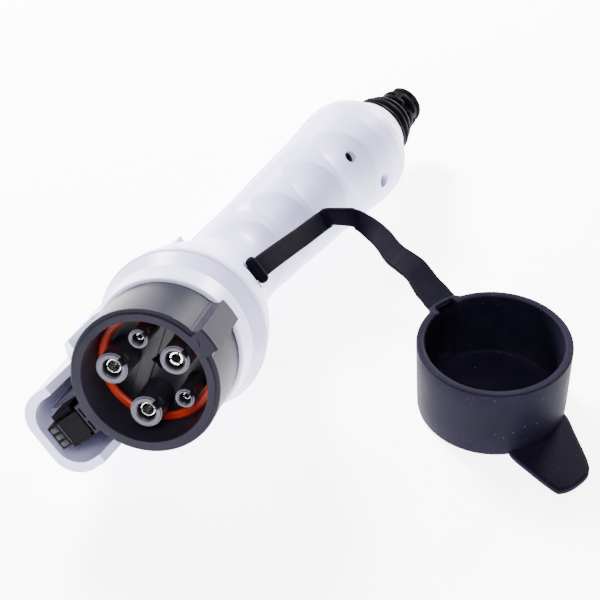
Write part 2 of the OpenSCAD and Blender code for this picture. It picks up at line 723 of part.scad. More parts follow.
module clamp_screws() {
    color(steel) lay() at_grip() for (s = [-1, 1]) translate([8.6 * s, grip_len - 13.3, 0]) difference() {
        union() {
            translate([0, 0, -11]) cylinder(d = 2.06, h = cord_r + 15);
            translate([0, 0, cord_r + 3.42]) cylinder(d = 4.4, h = 1.8);
        }
        translate([0, 0, cord_r + 4.2]) cylinder(d = 2.2, h = 2, $fn = 6);
    }
}

module boot() {
    e = grip_len;
    b = boot_d / 2;
    k = boot_len / 24;
    color(black) lay() at_grip() difference() {
        yturn([[0, e - 6.4], [13.1, e - 6.4], [13.1, e - 3.6], [11.2, e - 3.6], [11.2, e + 0.1],
            [b - 1, e + 0.1], [b - 0.8, e + 2.2 * k], [b - 2.8, e + 2.8 * k], [b - 2.8, e + 3.8 * k],
            [b - 1.6, e + 4.4 * k], [b - 1.8, e + 6.2 * k], [b - 4, e + 6.8 * k], [b - 4, e + 7.8 * k],
            [b - 2.9, e + 8.4 * k], [b - 3.3, e + 10 * k], [b - 5.4, e + 10.6 * k],
            [cord_r + 2.6, e + 12.6 * k], [cord_r + 2.2, e + 14.4 * k], [cord_r + 3.4, e + 14.7 * k],
            [cord_r + 3.3, e + 16.2 * k], [cord_r + 2, e + 16.5 * k], [cord_r + 1.8, e + 18.6 * k],
            [cord_r + 2.9, e + 18.9 * k], [cord_r + 2.8, e + 20.4 * k], [cord_r + 1.6, e + 20.7 * k],
            [cord_r + 1.4, e + boot_len], [0, e + boot_len]]);
        ybar(cord_d, e - 10, e + boot_len + 5);
    }
}

// The strap's centre line from the foot to the cap's rim, each with the vector across its width
strap_line = concat([[foot_at, [-3.7, 2.7, 5.1]]], [
    [[34.8, 56.0, 44.3], [-3.7, 2.7, 5.1]],
    [[41.0, 68.8, 39.4], [-3.7, 2.7, 5.1]],
    [[46.8, 81.0, 34.5], [-3.7, 2.7, 5.1]],
    [[51.3, 90.6, 30.8], [-3.7, 2.7, 5.1]],
    [[53.9, 96.1, 28.7], [-3.5, 2.2, 5.6]],
    [[55.7, 98.1, 28.7], [-2.6, 0.8, 6.4]],
    [[59.2, 98.9, 28.0], [-1.6, 0.3, 6.8]],
    [[62.5, 99.3, 27.2], [-1.4, 0.9, 6.9]],
    [[64.8, 99.1, 26.8], [-0.6, 2.5, 6.6]],
    [[66.9, 97.0, 26.6], [0.9, 4.3, 5.8]],
    [[69.8, 93.1, 26.6], [3.3, 5.3, 4.5]],
    [[73.4, 86.9, 26.6], [5.3, 5.1, 2.8]],
    [[76.4, 79.7, 26.1], [5.8, 5.8, 2.2]],
    [[79.5, 74.8, 26.3], [6.2, 6.1, 1.9]],
    [[82.5, 70.3, 26.4], [6.6, 6.4, 1.7]],
    [[84.4, 66.0, 25.9], [7.5, 5.9, 1.3]],
    [[85.9, 62.1, 25.5], [8.1, 5.7, 0.9]],
    [[87.6, 58.8, 25.3], [8.5, 5.9, 0.6]],
    [[89.1, 55.6, 25.0], [8.6, 6.3, 0.2]],
    [[90.8, 53.0, 24.7], [8.5, 5.7, -0.2]]]);

function catmull(a, b, c, d, t) = 0.5 * (2 * b + (c - a) * t + (2 * a - 5 * b + 4 * c - d) * t * t
    + (3 * b - a - 3 * c + d) * t * t * t);
function smooth(p, k) = let (n = len(p) - 1) concat([for (i = [0:n - 1]) for (j = [0:k - 1])
    catmull(p[max(i - 1, 0)], p[i], p[i + 1], p[min(i + 2, n)], j / k)], [p[n]]);
function unit(v) = v / norm(v);
function ahead(p, i) = unit(p[min(i + 1, len(p) - 1)] - p[max(i - 1, 0)]);

// A flat ribbon with bevelled edges
module ribbon(path, side, t) {
    n = len(path);
    b = 0.35;
    rim = [[-1, -1, 0, b], [-1, -1, b, 0], [1, -1, -b, 0], [1, -1, 0, b], [1, 1, 0, -b], [1, 1, -b, 0],
        [-1, 1, b, 0], [-1, 1, 0, -b]];
    pts = [for (i = [0:n - 1]) let (s = unit(side[i]), w = norm(side[i]), u = unit(cross(ahead(path, i), s)))
        for (c = rim) path[i] + s * (w / 2 * c[0] + c[2]) + u * (t / 2 * c[1] + c[3])];
    faces = concat([[for (j = [0:7]) j]], [for (i = [0:n - 2]) for (j = [0:7])
        [8 * i + j, 8 * i + 8 + j, 8 * i + 8 + (j + 1) % 8, 8 * i + (j + 1) % 8]],
        [[for (j = [7:-1:0]) 8 * (n - 1) + j]]);
    polyhedron(points = pts, faces = faces);
}

module dust_cap() {
    color(black) centred() {
        difference() {
            union() {
                translate([cap_x, cap_y, 0]) cylinder(d1 = cap_d - 1.2, d2 = cap_d, h = cap_h);
                ribbon(smooth([for (q = strap_line) q[0]], 3), smooth([for (q = strap_line) q[1]], 3), strap_t);
                // the swelling round the key channel, under the strap's root
                translate([cap_x, cap_y, 0]) rotate([0, 0, 124]) intersection() {
                    translate([cap_bore / 2 + 0.5, -5.4, 0]) cube([12, 10.8, cap_h - 0.4]);
                    cylinder(r1 = key_out + 0.4, r2 = key_out + 1.4, h = cap_h);
                }
                // the pull tab at the foot
                translate([cap_x, cap_y, 0]) linear_extrude(height = 2.2)
                    polygon([[8, -18], [1.3, -22.6], [13.1, -39.0], [15.6, -40.3],
                        [19.6, -38.8], [24.0, -35.2], [25.6, -31.8], [25.6, -27.5], [22.7, -8.6], [19, -6]]);
            }
            translate([cap_x, cap_y, 3]) {
                cylinder(d = cap_bore, h = cap_h);
                // the channel for the key rib
                rotate([0, 0, 124]) intersection() {
                    translate([18, -key_w / 2 - 0.3, 0]) cube([12, key_w + 0.6, cap_h]);
                    cylinder(r = key_out, h = cap_h);
                }
            }
        }
        // the foot: a bar outside the housing, a stem through the slot and a bar behind it
        translate([-origin_x, -origin_y, 0]) lay() {
            translate([-foot_w / 2, foot_y, foot_z]) rotate([0, 90, 0]) cylinder(d = foot_d, h = foot_w);
            translate([0, foot_y, foot_z]) rotate([40.8, 0, 0]) box(-2.5, 2.5, -0.8, 0.8, 0, 6.7);
            translate([-3.8, foot_y - 4.4, foot_z + 5.1]) rotate([0, 90, 0]) cylinder(d = 2, h = 7.6);
        }
    }
}

nose_shell();
carrier();
power_sleeves();
signal_sleeves();
line_contact();
neutral_contact();
earth_contact();
pilot_contact();
proximity_contact();
cavity_seal();
retainer();
retainer_screws();
front_ring();
upper_shell();
lower_shell();
housing_screws();
latch_lever();
latch_pin();
latch_spring();
latch_frame();
frame_screws();
micro_switch();
switch_plunger();
circuit_board();
board_resistors();
cable_clamp();
clamp_screws();
boot();
dust_cap();
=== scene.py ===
import json
import math
import bmesh
import bpy
from mathutils import Matrix, Vector, noise as mnoise


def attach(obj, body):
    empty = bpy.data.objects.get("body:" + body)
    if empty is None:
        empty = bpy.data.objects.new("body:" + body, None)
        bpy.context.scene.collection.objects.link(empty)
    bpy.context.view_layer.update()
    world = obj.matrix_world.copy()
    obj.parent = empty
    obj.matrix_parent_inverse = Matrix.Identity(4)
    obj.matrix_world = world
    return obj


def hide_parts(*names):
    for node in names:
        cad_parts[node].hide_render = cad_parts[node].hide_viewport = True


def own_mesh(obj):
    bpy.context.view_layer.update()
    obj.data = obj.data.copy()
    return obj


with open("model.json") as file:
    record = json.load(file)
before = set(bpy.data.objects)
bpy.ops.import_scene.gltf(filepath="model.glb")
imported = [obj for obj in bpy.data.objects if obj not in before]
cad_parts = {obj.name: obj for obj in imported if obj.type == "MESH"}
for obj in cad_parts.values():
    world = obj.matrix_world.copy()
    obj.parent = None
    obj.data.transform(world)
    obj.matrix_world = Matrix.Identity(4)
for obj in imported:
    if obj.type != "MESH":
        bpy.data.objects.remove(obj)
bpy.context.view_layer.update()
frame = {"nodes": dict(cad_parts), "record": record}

scene = bpy.context.scene

# Lengths are in millimetres and become metres by MM, apart from camera, lights and floor.
MM = 0.001


def turn(axis, deg):
    return Matrix.Rotation(math.radians(deg), 4, axis)


def shift(x, y, z):
    return Matrix.Translation((x, y, z))


# The connector's own axes: Y runs back along the nose from the front face, Z points to the latch.
# LAY puts them on the table, as the CAD does.
ORIGIN = Vector((-46.1, -87.86, 0))
NOSE_HEIGHT, PITCH, ROLL, YAW = 48.95, 18.24, -129.06, -14.47
LAY = (shift(*ORIGIN) @ shift(0, 0, NOSE_HEIGHT)
       @ turn("Z", YAW) @ turn("X", -PITCH) @ turn("Y", ROLL))

# Behind the head the grip bends away from the latch, round an axis below it.
GRIP_START, BEND_R, BEND_DEG = 75, 55, 26.6
GRIP_AXIS = LAY @ shift(0, GRIP_START, -BEND_R) @ turn("X", -BEND_DEG) @ shift(0, 0, BEND_R)

# ---------- materials ----------
# Noise lies mostly between these two values, so colour and roughness run from one to the other.
LOW, HIGH = 0.3, 0.7
EDGE_ROUND, EDGE_SAMPLES = 0.3 * MM, 4
GRAIN_HEIGHT, STREAK_HEIGHT, STREAK_STRENGTH = 0.06 * MM, 0.05 * MM, 0.05
COAT_ROUGHNESS = 0.12
# dust: noise cells to the metre, the noise from which a grain starts and is full, and how well it
# covers
DUST_SCALE, DUST_FROM, DUST_FULL, DUST_COVER = 1400, 0.76, 0.8, 0.8


def node_tree(name):
    mat = bpy.data.materials.new(name)
    mat.use_nodes = True
    nt = mat.node_tree
    nt.nodes.clear()
    out = nt.nodes.new("ShaderNodeOutputMaterial")
    bsdf = nt.nodes.new("ShaderNodeBsdfPrincipled")
    nt.links.new(bsdf.outputs[0], out.inputs[0])
    return mat, nt, bsdf


def object_coords(nt):
    return nt.nodes.new("ShaderNodeTexCoord").outputs["Object"]


def noise(nt, per_metre, detail, rough=0.55):
    n = nt.nodes.new("ShaderNodeTexNoise")
    n.inputs["Scale"].default_value = per_metre
    n.inputs["Detail"].default_value = detail
    n.inputs["Roughness"].default_value = rough
    nt.links.new(object_coords(nt), n.inputs["Vector"])
    return n.outputs["Fac"]


def ramp(nt, fac, dark, light):
    r = nt.nodes.new("ShaderNodeValToRGB")
    for element, at, colour in zip(r.color_ramp.elements, (LOW, HIGH), (dark, light)):
        element.position, element.color = at, (*colour, 1)
    nt.links.new(fac, r.inputs[0])
    return r.outputs[0]


def mapped(nt, fac, to_min, to_max, from_min=LOW, from_max=HIGH):
    m = nt.nodes.new("ShaderNodeMapRange")
    m.inputs["From Min"].default_value = from_min
    m.inputs["From Max"].default_value = from_max
    m.inputs["To Min"].default_value = to_min
    m.inputs["To Max"].default_value = to_max
    nt.links.new(fac, m.inputs["Value"])
    return m.outputs[0]


def mixed(nt, fac, colour, other):
    """A colour socket that turns into one plain colour where fac is high."""
    mix = nt.nodes.new("ShaderNodeMix")
    mix.data_type = "RGBA"
    nt.links.new(fac, mix.inputs["Factor"])
    nt.links.new(colour, mix.inputs["A"])
    mix.inputs["B"].default_value = (*other, 1)
    return mix.outputs["Result"]


def bump(nt, bsdf, fac, strength, height):
    """Fine relief, on edges that are shaded as slightly rounded."""
    edge = nt.nodes.new("ShaderNodeBevel")
    edge.samples = EDGE_SAMPLES
    edge.inputs["Radius"].default_value = EDGE_ROUND
    b = nt.nodes.new("ShaderNodeBump")
    b.inputs["Strength"].default_value = strength
    b.inputs["Distance"].default_value = height
    nt.links.new(edge.outputs[0], b.inputs["Normal"])
    nt.links.new(fac, b.inputs["Height"])
    nt.links.new(b.outputs[0], bsdf.inputs["Normal"])


def moulded(name, dark, light, rough, grain_mm=0.35, grain=0.12, cloud_mm=18, coat=0.0, spec=0.5,
            specks=None, face=None):
    """Moulded plastic or rubber: faint cloudy colour, fine spark-eroded grain.

    specks: colour of fine dust on it. face: painted shade; the depths along the connector between
    which the colour turns into a third one, how far it turns, and that third colour.
    """
    mat, nt, bsdf = node_tree(name)
    cloud = noise(nt, 1000 / cloud_mm, detail=3)
    colour = ramp(nt, cloud, dark, light)
    if specks:
        grains = noise(nt, DUST_SCALE, detail=1, rough=0.5)
        dust = mapped(nt, grains, 0, DUST_COVER, DUST_FROM, DUST_FULL)
        colour = mixed(nt, dust, colour, specks)
    # painted shade: between the two depths the colour turns towards the dark third one, standing in for
    # shade down the sides
    if face:
        front, behind, amount, shaded = face
        along, lie = LAY.to_3x3() @ Vector((0, 1, 0)), LAY.to_translation()
        depth = nt.nodes.new("ShaderNodeVectorMath")
        depth.operation = "DOT_PRODUCT"
        nt.links.new(object_coords(nt), depth.inputs[0])
        depth.inputs[1].default_value = along / MM
        start = along.dot(lie)
        painted_shade_mask = mapped(nt, depth.outputs["Value"], 0, amount, start + front, start + behind)
        colour = mixed(nt, painted_shade_mask, colour, shaded)
    nt.links.new(colour, bsdf.inputs["Base Color"])
    nt.links.new(mapped(nt, cloud, *rough), bsdf.inputs["Roughness"])
    fine = noise(nt, 1000 / grain_mm, detail=2, rough=0.6)
    bump(nt, bsdf, fine, strength=grain, height=GRAIN_HEIGHT)
    bsdf.inputs["Specular IOR Level"].default_value = spec
    if coat:
        bsdf.inputs["Coat Weight"].default_value = coat
        bsdf.inputs["Coat Roughness"].default_value = COAT_ROUGHNESS
    return mat


def metal(name, dark, light, rough, streak_mm=0.5):
    mat, nt, bsdf = node_tree(name)
    streak = noise(nt, 1000 / streak_mm, detail=4)
    nt.links.new(ramp(nt, streak, dark, light), bsdf.inputs["Base Color"])
    nt.links.new(mapped(nt, streak, *rough), bsdf.inputs["Roughness"])
    bsdf.inputs["Metallic"].default_value = 1.0
    bump(nt, bsdf, streak, strength=STREAK_STRENGTH, height=STREAK_HEIGHT)
    return mat


def made(kind, name, dark, light, rough, **rest):
    return name, kind(name + "_m", dark, light, rough, **rest)


MATS = dict((
    made(moulded, "shell_white", (0.435, 0.425, 0.66), (0.50, 0.49, 0.735), (0.34, 0.42),
         grain_mm=0.4, grain=0.04, cloud_mm=40, coat=0.06),
    made(moulded, "ring_white", (0.47, 0.46, 0.68), (0.54, 0.53, 0.75), (0.3, 0.4),
         grain_mm=0.4, grain=0.04, cloud_mm=40, coat=0.06),
    made(moulded, "nose_dark", (0.0100, 0.0090, 0.0158), (0.0150, 0.0137, 0.0226), (0.36, 0.46),
         grain_mm=0.4, grain=0.15, spec=0.05),
    made(moulded, "carrier_dark", (0.0045, 0.0043, 0.0072), (0.0075, 0.0072, 0.0112), (0.3, 0.4),
         grain_mm=0.4, grain=0.15, spec=0.24),
    made(moulded, "hook_worn", (0.003, 0.003, 0.0045), (0.024, 0.024, 0.03), (0.22, 0.4),
         grain_mm=0.3, grain=0.4, cloud_mm=0.9, spec=0.12),
    made(moulded, "seam_shade", (0.16, 0.15, 0.2), (0.24, 0.23, 0.29), (0.5, 0.6), spec=0.2),
    # the sleeves are pale on their faces, partly painted light, and painted dark down their sides, as
    # painted shade deep in the cavity
    made(moulded, "sleeve_pale", (0.040, 0.039, 0.060), (0.058, 0.057, 0.083), (0.3, 0.4),
         grain_mm=0.4, grain=0.1, cloud_mm=6, spec=0.3, face=(2.7, 3.6, 0.85, (0.002, 0.002, 0.0034))),
    made(metal, "contact_silver", (0.72, 0.71, 0.7), (0.9, 0.9, 0.9), (0.16, 0.3)),
    made(moulded, "seal_orange", (0.26, 0.012, 0.005), (0.38, 0.022, 0.008), (0.34, 0.46),
         grain_mm=0.6, grain=0.08, cloud_mm=8, spec=0.3),
    made(metal, "screw_steel", (0.5, 0.5, 0.52), (0.68, 0.68, 0.7), (0.25, 0.4)),
    made(metal, "spring_steel", (0.45, 0.45, 0.47), (0.62, 0.62, 0.64), (0.2, 0.35)),
    made(moulded, "lever_black", (0.0011, 0.0010, 0.0019), (0.0024, 0.0022, 0.0038), (0.28, 0.38),
         grain_mm=0.4, grain=0.15, spec=0.03),
    made(moulded, "switch_black", (0.004, 0.004, 0.005), (0.007, 0.007, 0.008), (0.5, 0.6), spec=0.3),
    made(moulded, "plunger_red", (0.4, 0.03, 0.02), (0.5, 0.05, 0.03), (0.4, 0.5)),
    made(moulded, "board_green", (0.01, 0.1, 0.04), (0.02, 0.14, 0.06), (0.3, 0.4)),
    made(moulded, "resistor_blue", (0.2, 0.4, 0.52), (0.26, 0.46, 0.58), (0.3, 0.4)),
    made(moulded, "boot_rubber", (0.0009, 0.0008, 0.0015), (0.0022, 0.0020, 0.0034), (0.44, 0.56),
         grain_mm=0.5, grain=0.35, spec=0.02),
    made(moulded, "cap_rubber", (0.0046, 0.0038, 0.0092), (0.0082, 0.0070, 0.0152), (0.48, 0.62),
         grain_mm=0.5, grain=0.35, cloud_mm=14, spec=0.02, specks=(0.09, 0.085, 0.12)),
    made(moulded, "strap_rubber", (0.0018, 0.0015, 0.0037), (0.0040, 0.0034, 0.0074), (0.48, 0.62),
         grain_mm=0.5, grain=0.35, cloud_mm=14, spec=0.01),
    # near-black metal: painted shade for the deep holes the housing screws sit in
    made(metal, "blackened", (0.012, 0.012, 0.015), (0.03, 0.03, 0.036), (0.3, 0.45)),
))
look_of = {s["node"]: s["material_slot"] for s in frame["record"]["subparts"]}
look_of["housing_screws"] = "blackened"  # the record's slot says steel; near-black metal here is painted shade, as the real ones look dark deep in their holes
for name, obj in frame["nodes"].items():
    mat = MATS[look_of[name]]
    if not obj.material_slots:
        obj.data.materials.append(mat)
    for s in obj.material_slots:
        s.material = mat


# ---------- shared shape tools ----------
MERGE_WITHIN = 0.001 * MM


def piece(name, shape, look, body, sharp=40):
    """Verts and faces in millimetres become a smooth-shaded piece on a body.

    Edges that turn by more than sharp degrees stay sharp.
    """
    verts, faces = shape
    me = bpy.data.meshes.new(name)
    me.from_pydata([tuple(c * MM for c in v) for v in verts], [], faces)
    me.validate()
    bm = bmesh.new()
    bm.from_mesh(me)
    bmesh.ops.remove_doubles(bm, verts=bm.verts, dist=MERGE_WITHIN)
    bmesh.ops.recalc_face_normals(bm, faces=bm.faces)
    for e in bm.edges:
        e.smooth = len(e.link_faces) == 2 and e.calc_face_angle(0) < math.radians(sharp)
    for f in bm.faces:
        f.smooth = True
    bm.to_mesh(me)
    bm.free()
    obj = bpy.data.objects.new(name, me)
    scene.collection.objects.link(obj)
    me.materials.append(MATS[look])
    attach(obj, body)
    return obj


def rings(rows, close_ends=True):
    """Verts and faces of a tube through closed rows of one length.

    Without close_ends the last row is joined to the first, as round a hollow ring.
    """
    n = len(rows[0])
    verts = [v for r in rows for v in r]
    spans = [(i, i + 1) for i in range(len(rows) - 1)]
    if not close_ends:
        spans.append((len(rows) - 1, 0))
    faces = [(i * n + j, i * n + (j + 1) % n, k * n + (j + 1) % n, k * n + j)
             for i, k in spans for j in range(n)]
    if close_ends:
        faces += [tuple(range(n))[::-1], tuple(range((len(rows) - 1) * n, len(rows) * n))]
    return verts, faces


def circle(n, start=0.0):
    """Cosine and sine of n angles round a circle, from start steps on."""
    return [(math.cos(a), math.sin(a)) for a in (2 * math.pi * (j + start) / n for j in range(n))]


def arc(steps, first=1):
    """Sine and cosine of a quarter turn's angles in equal steps, from the first one wanted."""
    turns = [math.radians(90 * i / steps) for i in range(first, steps + 1)]
    return [(math.sin(f), math.cos(f)) for f in turns]


def ease(a, lo, hi):
    t = min(max((a - lo) / (hi - lo), 0), 1)
    return t * t * (3 - 2 * t)


def read(table, x):
    """Value at x of a line through the table's points."""
    a, b = next((a, b) for a, b in zip(table, table[1:]) if x <= b[0])
    return a[1] + (b[1] - a[1]) * (x - a[0]) / (b[0] - a[0])


def wave(*v):
    return mnoise.noise(Vector(v))


def spline(pts, k, closed=False):
    """A smooth line through points, with k steps between two of them."""
    n, out = len(pts), []
    for i in range(n if closed else n - 1):
        near = [i + q if closed else min(max(i + q, 0), n - 1) for q in (-1, 0, 1, 2)]
        a, b, c, d = (pts[q % n] for q in near)
        for j in range(k):
            t = j / k
            out.append(0.5 * (2 * b + (c - a) * t + (2 * a - 5 * b + 4 * c - d) * t * t
                              + (3 * b - a - 3 * c + d) * t ** 3))
    return out if closed else out + [pts[-1]]


# ---------- the rubber cap, its strap and its foot ----------
CAP_AT = Vector((103.4, 33.1, 0)) + ORIGIN
CAP_H, CAP_BORE, CAP_D, CAP_TAPER = 26.6, 42.8, 48.0, 0.6
# The cap bulges round the nose's key rib: the rib's angle and radius, the wall outside it and how
# far that leans out, the angles from the rib between which the bulge runs out, outside and inside,
# and the rim's dip there.
KEY_DEG, KEY_OUT, KEY_WALL, KEY_LEAN = 124.0, 24.2, 0.4, 1.0
KEY_OUTSIDE_DEG, KEY_INSIDE_DEG, KEY_DIP = (11.6, 15), (8.6, 10.2), 0.35
CUP_HUB, CUP_FLOOR, CUP_COLUMNS = 6.0, 3.0, 300
FOOT_ROUND, RIM_ROUND, FLOOR_ROUND, RIM_BELOW = 1.9, 0.5, 1.1, 0.6
# the points of a section that lie on the outer wall and the rim, which aren't quite true
CUP_UNEVEN, CUP_WAVE = range(6, 16), 0.05


def cup_section(deg):
    """Radius and height of the cup's wall at an angle, from under the floor to the floor's top."""
    a = abs((deg - KEY_DEG + 180) % 360 - 180)
    out_w, in_w = 1 - ease(a, *KEY_OUTSIDE_DEG), 1 - ease(a, *KEY_INSIDE_DEG)
    top = CAP_H - KEY_DIP * out_w
    inside = CAP_BORE / 2 * (1 - in_w) + KEY_OUT * in_w
    inner_foot = CUP_FLOOR + FLOOR_ROUND

    def outside(z):
        body = CAP_D / 2 - CAP_TAPER + CAP_TAPER * z / CAP_H
        return body * (1 - out_w) + (KEY_OUT + KEY_WALL + KEY_LEAN * z / CAP_H) * out_w

    low, rim = outside(0) - FOOT_ROUND, top - RIM_ROUND
    heights = [FOOT_ROUND + (top - FOOT_ROUND - RIM_BELOW) * i / 4 for i in range(1, 5)]
    return ([(CUP_HUB, 0.0)]
            + [(low + FOOT_ROUND * s, FOOT_ROUND - FOOT_ROUND * c) for s, c in arc(4, 0)]
            + [(outside(z), z) for z in heights]
            + [(outside(top) - RIM_ROUND + RIM_ROUND * c, rim + RIM_ROUND * s) for s, c in arc(3)]
            + [(inside + RIM_ROUND - RIM_ROUND * s, rim + RIM_ROUND * c) for s, c in arc(3)]
            + [(inside, rim - (rim - inner_foot) * i / 3) for i in range(1, 4)]
            + [(inside - FLOOR_ROUND + FLOOR_ROUND * c, inner_foot - FLOOR_ROUND * s) for s, c in arc(3)]
            + [(CUP_HUB, CUP_FLOOR)])


def cap_cup():
    columns = []
    for j, (c, s) in enumerate(circle(CUP_COLUMNS)):
        column = []
        for k, (r, z) in enumerate(cup_section(360 * j / CUP_COLUMNS)):
            if k in CUP_UNEVEN:
                r += CUP_WAVE * wave(3 * c, 3 * s, z / 9)
            column.append(CAP_AT + Vector((r * c, r * s, z)))
        columns.append(column)
    return rings(list(zip(*columns)))


TAB_OUTLINE = [Vector(q) for q in (
    (8, -18), (4.6, -20.4), (2.3, -23.2), (7.3, -31.1), (13.0, -38.6), (15.4, -39.8), (19.3, -38.4),
    (23.6, -34.9), (25.2, -31.7), (25.3, -27.5), (23.9, -17.6), (22.4, -8.9), (19, -6), (13, -10))]
# how far the tab's edge lies inside the outline, by height
TAB_EDGE = ((0.55, 0), (0.16, 0.12), (0, 0.5), (0, 1.55), (0.16, 1.95), (0.55, 2.16), (1.3, 2.2))


def pull_tab():
    flat = spline(TAB_OUTLINE, 6, True)
    n = len(flat)
    rows = []
    for inset, z in TAB_EDGE:
        row = []
        for i, q in enumerate(flat):
            d = (flat[(i + 1) % n] - flat[i - 1]).normalized()
            v = q + Vector((-d.y, d.x)) * inset
            row.append(CAP_AT + Vector((v.x, v.y, z)))
        rows.append(row)
    return rings(rows)


FOOT_Y, FOOT_Z = 55.0, -23.48
foot = LAY @ shift(0, FOOT_Y, FOOT_Z)
# the strap's middle line, measured from ORIGIN, and the vector across its width
FLAT_RUN = (-3.7, 2.7, 5.1)
STRAP = [(Vector(at), Vector(across)) for at, across in (
    (foot.to_translation() - ORIGIN, FLAT_RUN), ((34.8, 56.0, 44.3), FLAT_RUN),
    ((41.0, 68.8, 39.4), FLAT_RUN), ((46.8, 81.0, 34.5), FLAT_RUN), ((51.3, 90.6, 30.8), FLAT_RUN),
    ((53.9, 96.1, 28.7), (-3.5, 2.2, 5.6)), ((55.7, 98.1, 28.7), (-2.6, 0.8, 6.4)),
    ((59.2, 98.9, 28.0), (-1.6, 0.3, 6.8)), ((62.5, 99.3, 27.2), (-1.4, 0.9, 6.9)),
    ((64.8, 99.1, 26.8), (-0.6, 2.5, 6.6)), ((66.9, 97.0, 26.6), (0.9, 4.3, 5.8)),
    ((69.8, 93.1, 26.6), (3.3, 5.3, 4.5)), ((73.4, 86.9, 26.6), (5.3, 5.1, 2.8)),
    ((76.4, 79.7, 26.1), (5.8, 5.8, 2.2)), ((79.5, 74.8, 26.3), (6.2, 6.1, 1.9)),
    ((82.5, 70.3, 26.4), (6.6, 6.4, 1.7)), ((84.4, 66.0, 25.9), (7.5, 5.9, 1.3)),
    ((85.9, 62.1, 25.5), (8.1, 5.7, 0.9)), ((87.6, 58.8, 25.3), (8.5, 5.9, 0.6)),
    ((89.1, 55.6, 25.0), (8.6, 6.3, 0.2)), ((90.8, 53.0, 24.7), (8.5, 5.7, -0.2)))]
STRAP_STEPS, STRAP_THICK, STRAP_SIDES = 8, 1.9, 20
# its section: how square its sides and faces are, how hollow the faces, and how far the sides lie
# inside the width
SIDE_POWER, FACE_POWER, FACE_HOLLOW, SIDE_IN = 0.22, 0.3, 0.1, 0.02
STRAP_RAGGED, STRAP_RIPPLE = 0.16, 0.08
# where the strap is creased, in points of the line above, with the height and spread of each crease
CREASES = ((5.3, 0.75, 2.6), (9.3, 0.7, 2.2))


def strap():
    mid = spline([q[0] for q in STRAP], STRAP_STEPS)
    side = spline([q[1] for q in STRAP], STRAP_STEPS)
    length = 0.0
    rows = []
    for i, at in enumerate(mid):
        length += (at - mid[max(i - 1, 0)]).length
        go = (mid[min(i + 1, len(mid) - 1)] - mid[max(i - 1, 0)]).normalized()
        across = side[i].normalized()
        up = go.cross(across).normalized()
        half = side[i].length / 2
        lift = sum(high * math.exp(-((i - q * STRAP_STEPS) / spread) ** 2)
                   for q, high, spread in CREASES)
        # the edges are ragged in the last run only
        ragged = STRAP_RAGGED * max(0, wave(length * 1.1, 3, 0)) * ease(i / len(mid), 0.55, 0.8)
        row = []
        for c, s in circle(STRAP_SIDES, 0.5):
            x = math.copysign(abs(c) ** SIDE_POWER, c) * (half - SIDE_IN + ragged)
            y = math.copysign(abs(s) ** FACE_POWER, s) * STRAP_THICK / 2
            y = y * (1 - FACE_HOLLOW * (1 - abs(x) / half))
            y += lift + STRAP_RIPPLE * wave(length * 0.5, x * 0.3, 1.0)
            row.append(at + ORIGIN + across * x + up * y)
        rows.append(row)
    return rings(rows)


def bar(length, radius, end, y, z):
    """A round bar along X with rolled ends, in the connector's own axes."""
    prof = [(0.25 * radius, -length / 2)]
    for deg in (0, 22, 45, 68, 90):
        f = math.radians(deg)
        prof.append((radius - end + end * math.sin(f), -length / 2 + end - end * math.cos(f)))
    prof += [(r, -x) for r, x in prof[::-1]]
    return rings([[LAY @ Vector((x, y + r * c, z + r * s)) for c, s in circle(40)] for r, x in prof])


# the flat stem: 5 mm wide, 1.6 mm thick, with cut corners
STEM_SECTION = ((-2.5, -0.48), (-2.125, -0.8), (2.125, -0.8), (2.5, -0.48),
                (2.5, 0.48), (2.125, 0.8), (-2.125, 0.8), (-2.5, 0.48))
STEM_HEIGHTS, STEM_LEAN_DEG = (0, 0.4, 3.3, 6.3, 6.7), 40.8


def stem():
    """It goes through the hole in the housing, from the bar outside to the one inside."""
    lean = foot @ turn("X", STEM_LEAN_DEG)
    return rings([[lean @ Vector((x, y, z)) for x, y in STEM_SECTION] for z in STEM_HEIGHTS])


cup = piece("cap_cup", cap_cup(), "cap_rubber", "cap", 50)
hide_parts("dust_cap")
piece("cap_tab", pull_tab(), "cap_rubber", "cap", 60)
piece("cap_strap", strap(), "strap_rubber", "cap", 60)
# the bar outside the housing, and the one inside that holds the foot in its hole
outer_bar = bar(9.2, 1.7, 1.4, FOOT_Y, FOOT_Z - 0.12)
inner_bar = bar(7.6, 1.0, 0.5, FOOT_Y - 4.4, FOOT_Z + 5.1)
piece("strap_bar", outer_bar, "strap_rubber", "cap")
piece("strap_toggle", inner_bar, "strap_rubber", "cap")
piece("strap_stem", stem(), "strap_rubber", "cap")

# ---------- the ribbed boot round the cord's exit ----------
GRIP_LEN, BOOT_COLUMNS, BOOT_CORE = 84, 120, 7.0
# radius and distance behind the grip's end: the collar and the front ribs
BOOT = [(13.1, -6.4), (13.1, -3.6), (11.2, -3.6), (11.2, 0.1), (12.45, 0.12), (12.65, 0.5), (12.7, 1.7),
        (12.2, 2.3), (10.9, 2.7), (10.7, 3.3), (11.0, 3.9), (11.7, 4.3), (11.9, 4.9), (11.8, 5.8),
        (11.3, 6.4), (9.8, 6.8), (9.5, 7.3), (9.8, 7.9), (10.4, 8.3), (10.6, 8.9), (10.3, 9.8),
        (9.7, 10.3), (8.3, 10.7), (7.7, 11.2), (7.3, 12.2)]
# The rear ribs are broken into four lugs each, staggered from rib to rib. A lug is full up to the
# first angle from its middle and gone at the second.
REAR_RIBS, RIB_PITCH = ((12.5, 8.6), (16.4, 8.1), (20.3, 7.5)), 3.9
LUG_PITCH_DEG, LUG_EDGE_DEG = 90, (30, 36)
BOOT_WAVE = 0.06
for start, crest in REAR_RIBS:
    BOOT += [(BOOT_CORE, start), (6.9, start + 0.5), (crest - 0.25, start + 0.8), (crest, start + 1.1),
             (crest, start + 2.2), (crest - 0.25, start + 2.5), (6.9, start + 2.8)]
# the rear edge and the cord's hole
BOOT += [(6.6, 23.4), (6.2, 24.0), (5.2, 24.0), (4.85, 23.7), (4.8, 16), (4.8, -6.4)]


